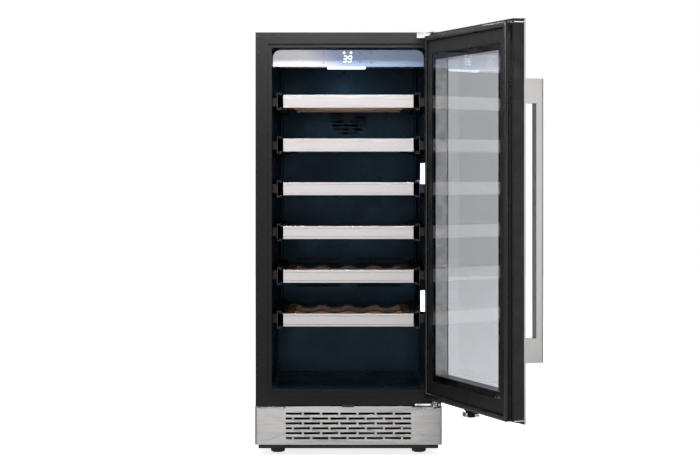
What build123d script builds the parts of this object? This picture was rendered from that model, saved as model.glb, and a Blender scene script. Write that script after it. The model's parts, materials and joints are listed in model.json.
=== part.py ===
"""Under-counter wine cooler, 380 mm wide, with a glass door and six slide-out shelves.

Millimetres, +Z up.  The origin lies on the floor at the centre of the four levelling feet.
+X is to the right and +Y is into the cabinet, so the door and the shelves face -Y.
The door is modelled shut and then swung to its rest position, wide open.
"""
from build123d import *
import math
import os

os.makedirs("parts", exist_ok=True)

# ---- Cabinet -------------------------------------------------------------------------------
CABINET_WIDTH = 380.0
CABINET_HEIGHT = 865.0
CABINET_DEPTH = 525.0
FOOT_FROM_FRONT = 50.0
FOOT_FROM_BACK = 45.0
FOOT_SPACING_X = 292.0
SHEET = 1.2                     # outer steel sheet
HALF = CABINET_WIDTH / 2
FOOT_SPACING_Y = CABINET_DEPTH - FOOT_FROM_FRONT - FOOT_FROM_BACK
FRONT = -(FOOT_FROM_FRONT + FOOT_SPACING_Y / 2)      # Y of the cabinet's front face
BACK = FRONT + CABINET_DEPTH

# ---- Cold space ----------------------------------------------------------------------------
CAVITY_HALF = 157.0
CAVITY_BOTTOM = 134.0
CAVITY_TOP = 834.0
CAVITY_BACK = FRONT + 488.0
CAVITY_CORNER = 10.0
LINER_WALL = 1.5
LINER_FLANGE = 9.0
STEP_FACE = FRONT + 345.0       # the cold space steps up over the compressor
STEP_TOP = 245.0
FRAME_DEPTH = 10.0
FRAME_BOTTOM = 102.0
BULKHEAD_FACE = FRONT + 376.0
BULKHEAD_TOP = 215.0
COVER_FACE = FRONT + 450.0

# ---- Base ----------------------------------------------------------------------------------
KICK_TOP = 100.0
KICK_BOTTOM = 22.0
KICK_SHEET = 1.5
KICK_PROUD = 3.0
KICK_OVERHANG = 1.2             # wider than the cabinet, on each side
KICK_RETURN = 22.0
KICK_CORNER = 5.0
VENT_WIDTH = 256.0
VENT_ROWS = 6
VENT_ROW_PITCH = 10.0
VENT_TOP_ROW = 85.5
VENT_SLOT = 32.8
VENT_BRIDGE = 4.4
VENT_HEIGHT = 4.5
VENT_SHORT = 12.5
PAN_BOTTOM = 14.0
PAN_HALF = 184.0
FOOT_RADIUS = 15.0
FOOT_HEIGHT = 12.0
FOOT_ROUND = 5.0
STEM_RADIUS = 4.0

# ---- Shelves -------------------------------------------------------------------------------
SHELF_COUNT = 6
TOP_SHELF = 738.0               # top edge of the highest shelf front
SHELF_PITCH = 90.0
SHELF_FRONT_HALF = 134.0
SHELF_FRONT_HEIGHT = 26.3
SHELF_SETBACK = 20.0
SHELF_DEPTH = 375.0
RACK_HALF = 133.0
SLIDE_LENGTH = 350.0
SLIDE_HALF_HEIGHT = 17.5
SLIDE_OUTER = 147.0
CRADLE_RADIUS = 41.0
CRADLE_DEPTH = 6.0
CRADLES = (-88.0, -30.0, 28.0, 86.0)

# ---- Door ----------------------------------------------------------------------------------
DOOR_BOTTOM = 113.5
DOOR_TOP = 862.5
DOOR_FRONT = 42.0               # distance of each door layer ahead of the cabinet front
SKIN_BACK = 41.0
BAND_BACK = 17.0
BORDER_BACK = 6.6
BORDER_WIDTH = 34.0             # outer edge to glass pocket, at the sides
BORDER_HEIGHT = 43.5            # outer edge to glass pocket, at top and bottom
GASKET_BACK = 1.5
GASKET_WIDTH = 11.7
GASKET_GAP = 0.3                # between the gasket and the raised inner border
GASKET_INSET_X = 2.0            # outer edge of the door to the gasket
GASKET_INSET_Z = 6.0
BAND_INSET = 1.0                # outer edge of the steel skin to the plastic band
BAND_SLOPE = 4.5                # fall of the door's top and bottom towards the gasket
PANE = 4.0
SPACER_WIDTH = 13.4
HINGE_X = 176.0
HINGE_AHEAD = 22.0
HINGE_LEG = 0.8                 # leaf of each hinge bracket on the cabinet's front
HINGE_CAP = 18.0                # the door keeps its full height this far around the pins
PIN_RADIUS = 3.5
PIN_CLEARANCE = 0.08
OPEN_ANGLE = 111.2              # degrees from shut at rest
HANDLE_X = (-172.0, -155.0)
HANDLE_Z = (224.0, 752.5)
HANDLE_BACK = 73.0
HANDLE_FRONT = 88.5
HANDLE_BLOCK = 46.0
HANDLE_ROUND = 3.2
LOCK_AXIS_Z = 109.0
LOCK_RADIUS = 5.2
LOCK_PLATE_HALF = 22.0
LOCK_TONGUE_BACK = 7.5

HINGE_AXIS = Axis((HINGE_X, FRONT - HINGE_AHEAD, 0), (0, 0, 1))


# ---- Helpers -------------------------------------------------------------------------------
def block(x, y, z):
    """A box between the low and high values given for X, Y and Z."""
    size = [high - low for low, high in (x, y, z)]
    middle = [(high + low) / 2 for low, high in (x, y, z)]
    return Pos(*middle) * Box(*size)


def rod(centre, radius, length, along):
    """A cylinder about its centre, along X, Y or Z."""
    turn = {"x": Rot(0, 90, 0), "y": Rot(90, 0, 0), "z": Rot(0, 0, 0)}[along]
    return Pos(*centre) * turn * Cylinder(radius, length)


def ahead(near, far):
    """The Y range of a layer between two distances ahead of the cabinet front."""
    return (FRONT - far, FRONT - near)


def behind(near, far):
    """The Y range of a layer between two distances behind the cabinet front."""
    return (FRONT + near, FRONT + far)


def rounded_block(x, y, z, radius):
    """A box with its four edges along Y rounded."""
    sketch = Plane.XZ * RectangleRounded(x[1] - x[0], z[1] - z[0], radius)
    solid = extrude(sketch, amount=y[1] - y[0], dir=(0, 1, 0))
    return Pos((x[0] + x[1]) / 2, y[0], (z[0] + z[1]) / 2) * solid


def side_outline(points, x):
    """A solid with this outline seen from the side, between two X values."""
    face = make_face(Plane.YZ * Polyline(*points, close=True))
    return Pos(x[0], 0, 0) * extrude(face, amount=x[1] - x[0])


def tube(points, bend, radius):
    """A round pipe along straight runs joined by arcs."""
    path = FilletPolyline(*points, radius=bend)
    section = Plane(origin=path @ 0, z_dir=path % 0) * Circle(radius)
    return sweep(section, path)


def window(outer_x, outer_z, border_x, border_z, y):
    """A rectangular ring facing the front."""
    ring = block((-outer_x, outer_x), y, outer_z)
    hole_x = (border_x - outer_x, outer_x - border_x)
    hole_z = (outer_z[0] + border_z, outer_z[1] - border_z)
    return ring - block(hole_x, (y[0] - 1, y[1] + 1), hole_z)


def save(name, *solids):
    """Write one named piece, or one group of like pieces."""
    shape = solids[0] if len(solids) == 1 else Compound(list(solids))
    export_step(shape, f"parts/{name}.step")


def save_door(name, *solids):
    """Write a piece of the door, swung from shut to its rest position."""
    save(name, *[solid.rotate(HINGE_AXIS, OPEN_ANGLE) for solid in solids])


# ---- Cabinet shell -------------------------------------------------------------------------
def cavity_outline(grow, front):
    """The cold space seen from the side, grown outwards by a wall thickness."""
    return [
        (front, CAVITY_BOTTOM - grow),
        (STEP_FACE + grow, CAVITY_BOTTOM - grow),
        (STEP_FACE + grow, STEP_TOP - grow),
        (CAVITY_BACK + grow, STEP_TOP - grow),
        (CAVITY_BACK + grow, CAVITY_TOP + grow),
        (front, CAVITY_TOP + grow),
    ]


def cavity_solid(grow, front):
    half = CAVITY_HALF + grow
    solid = side_outline(cavity_outline(grow, front), (-half, half))
    top_edges = solid.edges().filter_by(Axis.Y).group_by(Axis.Z)[-1]
    low_edges = solid.edges().filter_by(Axis.Y).group_by(Axis.Z)[0]
    return fillet(top_edges + low_edges, CAVITY_CORNER + grow)


def make_shell():
    y = behind(FRAME_DEPTH, CABINET_DEPTH)
    notch = behind(-1, KICK_RETURN + 2)
    for name, inner, outer in (
        ("side_panel_left", -HALF + SHEET, -HALF),
        ("side_panel_right", HALF - SHEET, HALF),
    ):
        x = (min(inner, outer), max(inner, outer))
        panel = block(x, y, (KICK_BOTTOM, CABINET_HEIGHT - SHEET))
        save(name, panel - block(x, notch, (KICK_BOTTOM, FRAME_BOTTOM)))
    save("top_panel", block((-HALF, HALF), y, (CABINET_HEIGHT - SHEET, CABINET_HEIGHT)))
    inside = HALF - SHEET
    save("back_panel", block((-inside, inside), (BACK - 1, BACK),
                             (BULKHEAD_TOP, CABINET_HEIGHT - SHEET)))


def make_bulkhead():
    """The bent sheet under the cold space and round the compressor space."""
    front = FRONT + FRAME_DEPTH
    under, above = FRAME_BOTTOM - 1, FRAME_BOTTOM
    points = [
        (front, under), (BULKHEAD_FACE, under), (BULKHEAD_FACE, BULKHEAD_TOP - 2),
        (BACK - 1.5, BULKHEAD_TOP - 2), (BACK - 1.5, BULKHEAD_TOP - 1),
        (BULKHEAD_FACE - 1, BULKHEAD_TOP - 1), (BULKHEAD_FACE - 1, above), (front, above),
    ]
    half = HALF - SHEET
    save("machine_bulkhead", side_outline(points, (-half, half)))


def make_liner_and_foam():
    """The liner's flat front flange closes the corners behind the square mouth of the frame."""
    front = FRONT + FRAME_DEPTH
    flange = block((-CAVITY_HALF - LINER_FLANGE, CAVITY_HALF + LINER_FLANGE),
                   (front, front + LINER_WALL),
                   (CAVITY_BOTTOM - LINER_FLANGE, CAVITY_TOP + LINER_FLANGE))
    outside = cavity_solid(LINER_WALL, front) + flange
    save("inner_liner", outside - cavity_solid(0, front - 5))
    half = HALF - SHEET
    filling = block((-half, half), (front, BACK - 1), (FRAME_BOTTOM, CABINET_HEIGHT - SHEET))
    filling -= block((-half, half), (BULKHEAD_FACE - 1, BACK), (0, BULKHEAD_TOP - 1))
    save("insulation_foam", filling - outside)


def make_front_frame():
    """The front flange, mitred at its top corners, with a stepped lip round the square mouth."""
    z = (FRAME_BOTTOM, CABINET_HEIGHT)
    lip = 7.0
    bead = 1.6
    frame = block((-HALF, HALF), behind(0, FRAME_DEPTH), z)
    for grow, depth in ((0, FRAME_DEPTH + 1), (lip, 2.0), (lip + bead, 0.6)):
        frame -= block((-CAVITY_HALF - grow, CAVITY_HALF + grow), behind(-1, depth),
                       (CAVITY_BOTTOM - grow, CAVITY_TOP + grow))
    seam_width, seam_depth = 0.5, 0.5
    corner_x, corner_z = CAVITY_HALF + lip + bead, CAVITY_TOP + lip + bead
    for side in (-1, 1):
        middle = (side * (HALF + corner_x) / 2, (CABINET_HEIGHT + corner_z) / 2)
        slope = math.degrees(math.atan2(CABINET_HEIGHT - corner_z, HALF - corner_x))
        length = math.hypot(CABINET_HEIGHT - corner_z, HALF - corner_x) + 2
        seam = Rot(0, -side * slope, 0) * Box(length, 2 * seam_depth, seam_width)
        frame -= Pos(middle[0], FRONT, middle[1]) * seam
    save("front_frame", frame)
    heads = []
    for x, z_head in ((-185.0, 857.0), (-144.0, 858.5), (-184.0, 825.0)):
        head = rod((x, FRONT - 0.35, z_head), 3.6, 0.7, "y")
        heads.append(head - rod((x, FRONT - 0.6, z_head), 1.2, 0.4, "y"))
    save("frame_screws", *heads)


# ---- Base, feet and kick plate -------------------------------------------------------------
def foot_places():
    for y_name, y in (("front", -FOOT_SPACING_Y / 2), ("rear", FOOT_SPACING_Y / 2)):
        for x_name, x in (("left", -FOOT_SPACING_X / 2), ("right", FOOT_SPACING_X / 2)):
            yield f"foot_{y_name}_{x_name}", x, y


def make_feet():
    for name, x, y in foot_places():
        pad = Pos(x, y, FOOT_HEIGHT / 2) * Cylinder(FOOT_RADIUS, FOOT_HEIGHT)
        pad = fillet(pad.edges().group_by(Axis.Z)[0], FOOT_ROUND)
        top = PAN_BOTTOM + 16.0
        stem = rod((x, y, (FOOT_HEIGHT + top) / 2), STEM_RADIUS, top - FOOT_HEIGHT, "z")
        save(name, pad + stem)


def make_base_pan():
    """A shallow tray with an outward rim that carries the side panels."""
    wall, rim = 1.5, 1.2
    y = behind(2, CABINET_DEPTH - 3)
    tray = block((-PAN_HALF, PAN_HALF), y, (PAN_BOTTOM, KICK_BOTTOM + rim))
    inner_y = (y[0] + wall, y[1] - wall)
    tray -= block((wall - PAN_HALF, PAN_HALF - wall), inner_y, (PAN_BOTTOM + wall, 60))
    rims = [block((side * (PAN_HALF + 2.4) - 2.4, side * (PAN_HALF + 2.4) + 2.4),
                  (FRONT + KICK_RETURN + 2, y[1]), (KICK_BOTTOM, KICK_BOTTOM + rim))
            for side in (-1, 1)]
    tray = tray + rims[0] + rims[1]
    for _, x, y_foot in foot_places():
        tray += rod((x, y_foot, PAN_BOTTOM + 4), 9, 8, "z")
        tray -= rod((x, y_foot, PAN_BOTTOM), STEM_RADIUS + PIN_CLEARANCE, 60, "z")
    save("base_pan", tray)


def vent_slots():
    """Six rows of slots; every second row starts and ends with a short slot."""
    low_x, high_x = -VENT_WIDTH / 2, VENT_WIDTH / 2
    step = VENT_SLOT + VENT_BRIDGE
    for row in range(VENT_ROWS):
        z = VENT_TOP_ROW - row * VENT_ROW_PITCH
        start, length = low_x, (VENT_SLOT if row % 2 == 0 else VENT_SHORT)
        while start < high_x - 1:
            end = min(start + length, high_x)
            yield rounded_block((start, end), ahead(0, KICK_PROUD + 2),
                                (z - VENT_HEIGHT / 2, z + VENT_HEIGHT / 2), 1.6)
            start, length = end + VENT_BRIDGE, step - VENT_BRIDGE


def make_kick_plate():
    half = HALF + KICK_OVERHANG
    z = (KICK_BOTTOM, KICK_TOP)
    y = (FRONT - KICK_PROUD, FRONT + KICK_RETURN)
    shell = block((-half, half), y, z)
    front_edges = shell.edges().filter_by(Axis.Z).group_by(Axis.Y)[0]
    shell = fillet(front_edges, KICK_CORNER)
    core = block((KICK_SHEET - half, half - KICK_SHEET), (y[0] + KICK_SHEET, y[1] + 1),
                 (z[0] - 1, z[1] + 1))
    core_edges = core.edges().filter_by(Axis.Z).group_by(Axis.Y)[0]
    shell -= fillet(core_edges, KICK_CORNER - KICK_SHEET)
    lip_x = (6 - half, half - 6)
    shell += block(lip_x, (y[0] + 0.5, FRONT + 6), (KICK_TOP - KICK_SHEET, KICK_TOP))
    for slot in vent_slots():
        shell -= slot
    save("kick_plate", shell)


# ---- Hinges and lock striker ---------------------------------------------------------------
def make_hinges():
    pin_y = FRONT - HINGE_AHEAD
    plate = 2.0
    top = block((140, 188), ahead(0, 32), (CABINET_HEIGHT - plate, CABINET_HEIGHT))
    top += block((140, 188), ahead(0, HINGE_LEG), (853.5, CABINET_HEIGHT))
    top += rod((HINGE_X, pin_y, CABINET_HEIGHT - plate - 7), PIN_RADIUS, 14, "z")

    low, high = KICK_TOP + 0.5, KICK_TOP + 3.5
    tongue = block((129, 188), ahead(0, 40), (low, high))
    tongue -= block((120, 136), ahead(-1, 18), (low - 1, high + 1))
    corner = tongue.edges().filter_by(Axis.Z).group_by(Axis.Y)[0].sort_by(Axis.X)[-1]
    bottom = chamfer(corner, 16)
    bottom += block((136, 188), ahead(0, HINGE_LEG), (low, high + 1.8))
    bottom += rod((HINGE_X, pin_y, (high + DOOR_BOTTOM) / 2 - 0.15), 7, DOOR_BOTTOM - high - 0.3, "z")
    bottom += rod((HINGE_X, pin_y, DOOR_BOTTOM + 5), PIN_RADIUS, 18, "z")

    spare = block((-187, -128), ahead(0, 35), (low, high))
    spare_corners = spare.edges().filter_by(Axis.Z).group_by(Axis.Y)[0].sort_by(Axis.X)
    spare = chamfer(spare_corners[0], 10)
    spare = fillet(spare.edges().filter_by(Axis.Z).group_by(Axis.Y)[0].sort_by(Axis.X)[-1], 4)
    screws = [rod((x, FRONT - 30, low - 0.9), 3.2, 1.8, "z") for x in (140.0, 156.0)]
    save("hinge_brackets", top, bottom, spare, *screws)

    striker = block((-12.5, 12.5), ahead(0, 14), (KICK_TOP + 0.2, KICK_TOP + 2.2))
    striker -= block((-5.5, 5.5), ahead(LOCK_TONGUE_BACK - 1.5, LOCK_TONGUE_BACK + 4.5),
                     (KICK_TOP - 1, KICK_TOP + 4))
    striker += block((-12.5, 12.5), ahead(0, HINGE_LEG), (KICK_TOP + 0.2, KICK_TOP + 3.6))
    save("lock_striker", striker)


# ---- Cold side -----------------------------------------------------------------------------
def fan_housing(centre, size, depth, bore, motor):
    """A square axial-fan frame along Y with a motor held by four struts at its rear."""
    x, y, z = centre
    half = size / 2
    frame = block((x - half, x + half), (y - depth / 2, y + depth / 2), (z - half, z + half))
    frame -= rod(centre, bore, depth + 2, "y")
    rear = y + depth / 2
    for turn in (45, 135):
        strut = Box(2 * bore + 2, 2.5, 5)
        frame += Pos(x, rear - 1.25, z) * Rot(0, turn, 0) * strut
    frame += rod((x, rear - 4, z), motor, 8, "y")
    return frame


def fan_rotor(centre, hub, tip, depth, blades):
    """A hub with pitched blades, turning about Y."""
    x, y, z = centre
    rotor = rod(centre, hub, depth, "y")
    reach = tip - hub + 2
    for index in range(blades):
        blade = Pos(hub + reach / 2 - 2, 0, 0) * Rot(32, 0, 0) * Box(reach, 1.4, depth * 1.15)
        rotor += Pos(x, y, z) * Rot(0, index * 360 / blades, 0) * blade
    return rotor & rod(centre, tip, depth, "y")


COLD_FAN = (0.0, FRONT + 469.0, 705.0)
COLD_FAN_SIZE = 92.0


def make_evaporator():
    y = (COVER_FACE, COVER_FACE + 2)
    cover = block((-150, 150), y, (252, 826))
    for side in (-1, 1):
        cover += block((side * 149 - 1, side * 149 + 1), (y[0], CAVITY_BACK), (252, 826))
    x, _, z = COLD_FAN
    for row in range(-4, 5):
        gap_z = z + row * 9
        reach = math.sqrt(42 ** 2 - (row * 9) ** 2)
        cover -= block((x - reach, x + reach), (y[0] - 1, y[1] + 1), (gap_z - 2.5, gap_z + 2.5))
    for row in range(6):
        for side in (-1, 1):
            gap_z = 320 + row * 12
            cover -= block((side * 70 - 50, side * 70 + 50), (y[0] - 1, y[1] + 1),
                           (gap_z - 2.5, gap_z + 2.5))
    save("evaporator_cover", cover)

    save("circulation_fan_frame", fan_housing(COLD_FAN, COLD_FAN_SIZE, 25, 43, 17))
    hub_y = COLD_FAN[1] - 4.5
    save("circulation_fan_rotor", fan_rotor((COLD_FAN[0], hub_y, COLD_FAN[2]), 16, 41, 13, 7))

    coil_y = FRONT + 470.0
    rows, pitch, reach = 8, 30.0, 105.0
    low = 405.0
    solids = serpentine(rows, pitch, reach, coil_y, low, 4.0)
    plate = block((-reach - 12, reach + 12), (coil_y + 4, coil_y + 5.5),
                  (low - 15, low + (rows - 1) * pitch + 15))
    save("evaporator_coil", solids + plate)


def serpentine(rows, pitch, reach, y, low, radius):
    """A pipe that runs back and forth along X, stepping up at each end."""
    points = []
    for row in range(rows):
        ends = (-reach, reach) if row % 2 == 0 else (reach, -reach)
        points += [(ends[0], y, low + row * pitch), (ends[1], y, low + row * pitch)]
    return tube(points, pitch * 0.49, radius)


def make_controls():
    """A control head across the top of the mouth, with a lamp in its underside."""
    half, low, high = CAVITY_HALF - 1.5, 796.0, 830.0
    y = behind(SHELF_SETBACK, SHELF_SETBACK + 3)
    plate = block((-half, half), y, (low, high))
    top_edges = plate.edges().filter_by(Axis.Y).group_by(Axis.Z)[-1]
    plate = fillet(top_edges, 16)
    tray_y = (y[1], y[1] + 42)
    plate += block((-half + 12, half - 12), tray_y, (low, low + 2))
    plate += block((-half + 12, half - 12), (tray_y[1] - 2, tray_y[1]), (low, CAVITY_TOP))
    save("control_panel", plate)
    board = block((-62, 62), (y[1] + 4, y[1] + 5.6), (low + 4, high - 4))
    board += block((-24, 24), (y[1] + 0.5, y[1] + 4), (low + 6, high - 6))
    for x in (-54.0, 54.0):
        board += rod((x, y[1] + 2, (low + high) / 2), 2.2, 4, "y")
    save("control_board", board)

    top_lamp = block((-43, 35), (y[1] + 3, y[1] + 19), (low - 4, low))
    lamps = [fillet(top_lamp.edges().filter_by(Axis.X).group_by(Axis.Z)[0], 2.5)]
    for z in (576.0, 314.0):
        lens = block((148.5, CAVITY_HALF), behind(13, 31), (z - 21, z + 21))
        lamps.append(fillet(lens.edges().filter_by(Axis.Z).group_by(Axis.X)[0], 7))
    save("cavity_lamps", *lamps)


# ---- Machine side --------------------------------------------------------------------------
COMPRESSOR = (-40.0, FRONT + 451.0)
MOTOR_FAN = (-60.0, FRONT + 118.0, 60.0)
DRIER_X = 110.0
PIPE_Z = 90.0
MOUNT_HEIGHT = 12.5
CONDENSER_REACH = 80.0


def compressor_mount_places():
    for x in (-75.0, 75.0):
        for y in (-45.0, 45.0):
            yield COMPRESSOR[0] + x, COMPRESSOR[1] + y


def make_compressor():
    x, y = COMPRESSOR
    floor = PAN_BOTTOM + 1.5
    plate_z = floor + MOUNT_HEIGHT
    shell = Pos(x, y, plate_z + 3 + 72) * Cylinder(61, 144)
    shell = fillet(shell.edges().group_by(Axis.Z)[-1], 34)
    shell = fillet(shell.edges().group_by(Axis.Z)[0], 16)
    shell += rod((x, y, plate_z + 60), 62.5, 5, "z")
    shell += block((x - 88, x + 88), (y - 55, y + 55), (plate_z, plate_z + 3))
    shell += block((x - 30, x + 30), (y - 66, y - 50), (plate_z + 70, plate_z + 112))
    save("compressor", shell)
    mounts = [rod((mx, my, floor + MOUNT_HEIGHT / 2), 10, MOUNT_HEIGHT, "z")
              for mx, my in compressor_mount_places()]
    save("compressor_mounts", *mounts)


def make_condenser():
    """Ten pipe runs in two layers behind the kick plate, pressed into flat fins."""
    y, low, reach = FRONT + 48.0, 34.0, CONDENSER_REACH
    x = MOTOR_FAN[0]
    pipes = Pos(x, 0, 0) * serpentine(5, 14.0, reach, y, low, 3.5)
    pipes += Pos(x, 0, 0) * serpentine(5, 14.0, reach, y + 22, low, 3.5)
    fins = pipes
    for index in range(15):
        fin_x = x - 70 + index * 10
        fins += block((fin_x - 0.4, fin_x + 0.4), (y - 8, y + 30), (low - 7, low + 63))
    save("condenser_coil", fins)

    save("condenser_fan_frame", fan_housing(MOTOR_FAN, 76, 25, 36, 14))
    hub_y = MOTOR_FAN[1] - 4.5
    save("condenser_fan_rotor", fan_rotor((MOTOR_FAN[0], hub_y, MOTOR_FAN[2]), 13, 34, 13, 7))


def make_pipes():
    """Discharge and liquid lines, the suction line and the filter drier."""
    x, y = COMPRESSOR
    condenser_end = MOTOR_FAN[0] + CONDENSER_REACH
    discharge = tube([(x + 62.6, y, PIPE_Z), (x + 85, y, PIPE_Z), (x + 85, FRONT + 70, PIPE_Z),
                      (condenser_end, FRONT + 70, PIPE_Z)], 10, 3)
    suction = tube([(x - 61.1, y, 95), (x - 95, y, 95), (x - 95, y, 208)], 14, 4)
    drier = fillet(rod((DRIER_X, FRONT + 300, PIPE_Z), 9, 90, "y").edges(), 4)
    liquid = tube([(DRIER_X, FRONT + 255, PIPE_Z), (DRIER_X, FRONT + 48, PIPE_Z),
                   (condenser_end, FRONT + 48, PIPE_Z)], 14, 3)
    capillary = tube([(DRIER_X, FRONT + 345, PIPE_Z), (DRIER_X, FRONT + 470, PIPE_Z),
                      (DRIER_X, FRONT + 470, 208)], 14, 2)
    save("refrigerant_pipes", discharge, suction, drier, liquid, capillary)


GLAND = (150.0, 60.0)           # X and Z
GLAND_BORE = 4.2


def make_rear_cover():
    half = HALF - SHEET - 0.5
    cover = block((-half, half), (BACK - 1.2, BACK), (KICK_BOTTOM + 3, BULKHEAD_TOP - 1))
    for row in range(9):
        z = 62 + row * 14
        for column in range(4):
            slot_x = -150 + column * 62
            cover -= rounded_block((slot_x, slot_x + 50), (BACK - 3, BACK + 1),
                                   (z - 2.5, z + 2.5), 2.4)
    x, z = GLAND
    cover -= rod((x, BACK, z), 9.1, 10, "y")
    save("rear_cover", cover)
    gland = rod((x, BACK - 4, z), 9.0, 16, "y") + rod((x, BACK + 1.5, z), 12.5, 3, "y")
    save("cable_gland", gland - rod((x, BACK, z), GLAND_BORE, 40, "y"))


# ---- Shelves -------------------------------------------------------------------------------
def shelf_top(index):
    return TOP_SHELF - index * SHELF_PITCH


def make_slide_rails():
    """Fixed slide members, bent channels on two wall brackets each."""
    rails = []
    wall = 1.4
    for index in range(SHELF_COUNT):
        middle = shelf_top(index) - SHELF_FRONT_HEIGHT / 2
        z = (middle - SLIDE_HALF_HEIGHT, middle + SLIDE_HALF_HEIGHT)
        for side in (-1, 1):
            y = behind(SHELF_SETBACK + 2, SHELF_SETBACK + 2 + SLIDE_LENGTH)
            rail = block((SLIDE_OUTER - 8.5, SLIDE_OUTER), y, z)
            rail -= block((SLIDE_OUTER - 9, SLIDE_OUTER - wall), (y[0] - 1, y[1] + 1),
                          (z[0] + wall, z[1] - wall))
            for start in (62.0, 300.0):
                rail += block((SLIDE_OUTER, CAVITY_HALF), behind(start, start + 24),
                              (middle - 9, middle + 9))
            rails.append(rail if side > 0 else mirror(rail, Plane.YZ))
    save("slide_rails", *rails)


def make_shelf(index):
    """One shelf: a wooden rack, its steel front and the two moving slide members."""
    name = f"shelf_{index + 1}"
    high = shelf_top(index)
    low = high - SHELF_FRONT_HEIGHT
    skin = 1.2
    front = block((-SHELF_FRONT_HALF, SHELF_FRONT_HALF), behind(SHELF_SETBACK, 32), (low, high))
    front -= block((-SHELF_FRONT_HALF - 1, SHELF_FRONT_HALF + 1),
                   behind(SHELF_SETBACK + skin, 40), (low + skin, high - skin))
    for groove_z in (low + 4.4, high - 4.7):
        front -= block((-SHELF_FRONT_HALF - 1, SHELF_FRONT_HALF + 1),
                       behind(SHELF_SETBACK - 1, SHELF_SETBACK + 0.3),
                       (groove_z - 0.25, groove_z + 0.25))
    save(f"{name}_front", front)

    rail_start = SHELF_SETBACK + 20
    rail_z = (low + 7, low + 19)
    wood = [block((-RACK_HALF, RACK_HALF), behind(SHELF_SETBACK + skin, rail_start),
                  (low + skin, high - skin))]
    side_inner = RACK_HALF - 16
    for side in (-1, 1):
        x = sorted((side * side_inner, side * RACK_HALF))
        wood.append(block(x, behind(rail_start, SHELF_DEPTH + SHELF_SETBACK), rail_z))
    for start in (95.0, 215.0, SHELF_DEPTH + SHELF_SETBACK - 32):
        slat = block((-side_inner, side_inner), behind(start, start + 32), (low + 3, low + 17))
        for x in CRADLES:
            slat -= rod((x, FRONT + start + 16, low + 17 - CRADLE_DEPTH + CRADLE_RADIUS),
                        CRADLE_RADIUS, 40, "y")
        wood.append(slat)
    save(f"{name}_rack", *wood)

    middle = (low + high) / 2
    wall = 1.4
    runners = []
    for side in (-1, 1):
        y = behind(SHELF_SETBACK + 2, SHELF_SETBACK + 2 + SLIDE_LENGTH)
        runner = block((RACK_HALF, RACK_HALF + 9.5), y, (middle - 14.5, middle + 14.5))
        runner -= block((RACK_HALF + wall, RACK_HALF + 12), (y[0] - 1, y[1] + 1),
                        (middle - 14.5 + wall, middle + 14.5 - wall))
        notch = block((RACK_HALF - 1, SHELF_FRONT_HALF + 0.2), behind(SHELF_SETBACK, 32.2),
                      (middle - 20, middle + 20))
        runner -= notch
        runners.append(runner if side > 0 else mirror(runner, Plane.YZ))
    save(f"{name}_runners", *runners)


# ---- Door ----------------------------------------------------------------------------------
def door_slope(edge, fall, *x_ranges):
    """What is cut from the door's top or bottom so that it falls towards the gasket."""
    back, front = FRONT - BAND_BACK + 0.1, FRONT - SKIN_BACK
    outline = [(back, edge - fall), (front, edge), (back, edge + fall)]
    return [side_outline(outline, x) for x in x_ranges]


def make_door():
    z = (DOOR_BOTTOM, DOOR_TOP)
    band = window(HALF - BAND_INSET, (z[0] + BAND_INSET, z[1] - BAND_INSET),
                  BORDER_WIDTH - BAND_INSET, BORDER_HEIGHT - BAND_INSET, ahead(BAND_BACK, SKIN_BACK))
    free_end, hinge_end = -HALF - 1, HINGE_X - HINGE_CAP
    lock_room = LOCK_PLATE_HALF + 4
    band -= door_slope(z[0] + BAND_INSET, -BAND_SLOPE, (free_end, -lock_room), (lock_room, hinge_end))
    band -= door_slope(z[1] - BAND_INSET, BAND_SLOPE, (free_end, hinge_end))
    inset_x = GASKET_INSET_X + GASKET_WIDTH + GASKET_GAP
    inset_z = GASKET_INSET_Z + GASKET_WIDTH + GASKET_GAP
    border = window(HALF - inset_x, (z[0] + inset_z, z[1] - inset_z), BORDER_WIDTH - inset_x,
                    BORDER_HEIGHT - inset_z, ahead(BORDER_BACK, BAND_BACK))
    frame = band + border
    for pin_z in (DOOR_BOTTOM, DOOR_TOP):
        frame -= rod((HINGE_X, FRONT - HINGE_AHEAD, pin_z), PIN_RADIUS + PIN_CLEARANCE, 34, "z")
    save_door("door_frame", frame)

    cover = window(HALF, z, BORDER_WIDTH + SPACER_WIDTH, BORDER_HEIGHT + SPACER_WIDTH,
                   ahead(SKIN_BACK, DOOR_FRONT))
    edge = window(HALF, z, 1, 1, ahead(DOOR_FRONT - 3.5, DOOR_FRONT))
    save_door("door_skin", cover + edge)

    pocket_x = HALF - BORDER_WIDTH
    pocket_z = (z[0] + BORDER_HEIGHT, z[1] - BORDER_HEIGHT)
    inner_pane = (BORDER_BACK + 1, BORDER_BACK + 1 + PANE)
    outer_pane = (SKIN_BACK - PANE, SKIN_BACK)
    save_door("inner_glass", block((-pocket_x, pocket_x), ahead(*inner_pane), pocket_z))
    save_door("outer_glass", block((-pocket_x, pocket_x), ahead(*outer_pane), pocket_z))
    save_door("glass_spacer", window(pocket_x, pocket_z, SPACER_WIDTH, SPACER_WIDTH,
                                     ahead(inner_pane[1], outer_pane[0])))

    seal = window(HALF - GASKET_INSET_X, (z[0] + GASKET_INSET_Z, z[1] - GASKET_INSET_Z),
                  GASKET_WIDTH, GASKET_WIDTH, ahead(GASKET_BACK, BAND_BACK))
    nose = block((HINGE_X + 4, HALF), ahead(0, HINGE_AHEAD / 2), z)
    swing_radius = HINGE_AHEAD - HINGE_LEG - 0.4
    swept = rod((HINGE_X, FRONT - HINGE_AHEAD, (z[0] + z[1]) / 2), swing_radius,
                z[1] - z[0] + 10, "z")
    save_door("door_gasket", seal - (nose - swept))


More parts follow.
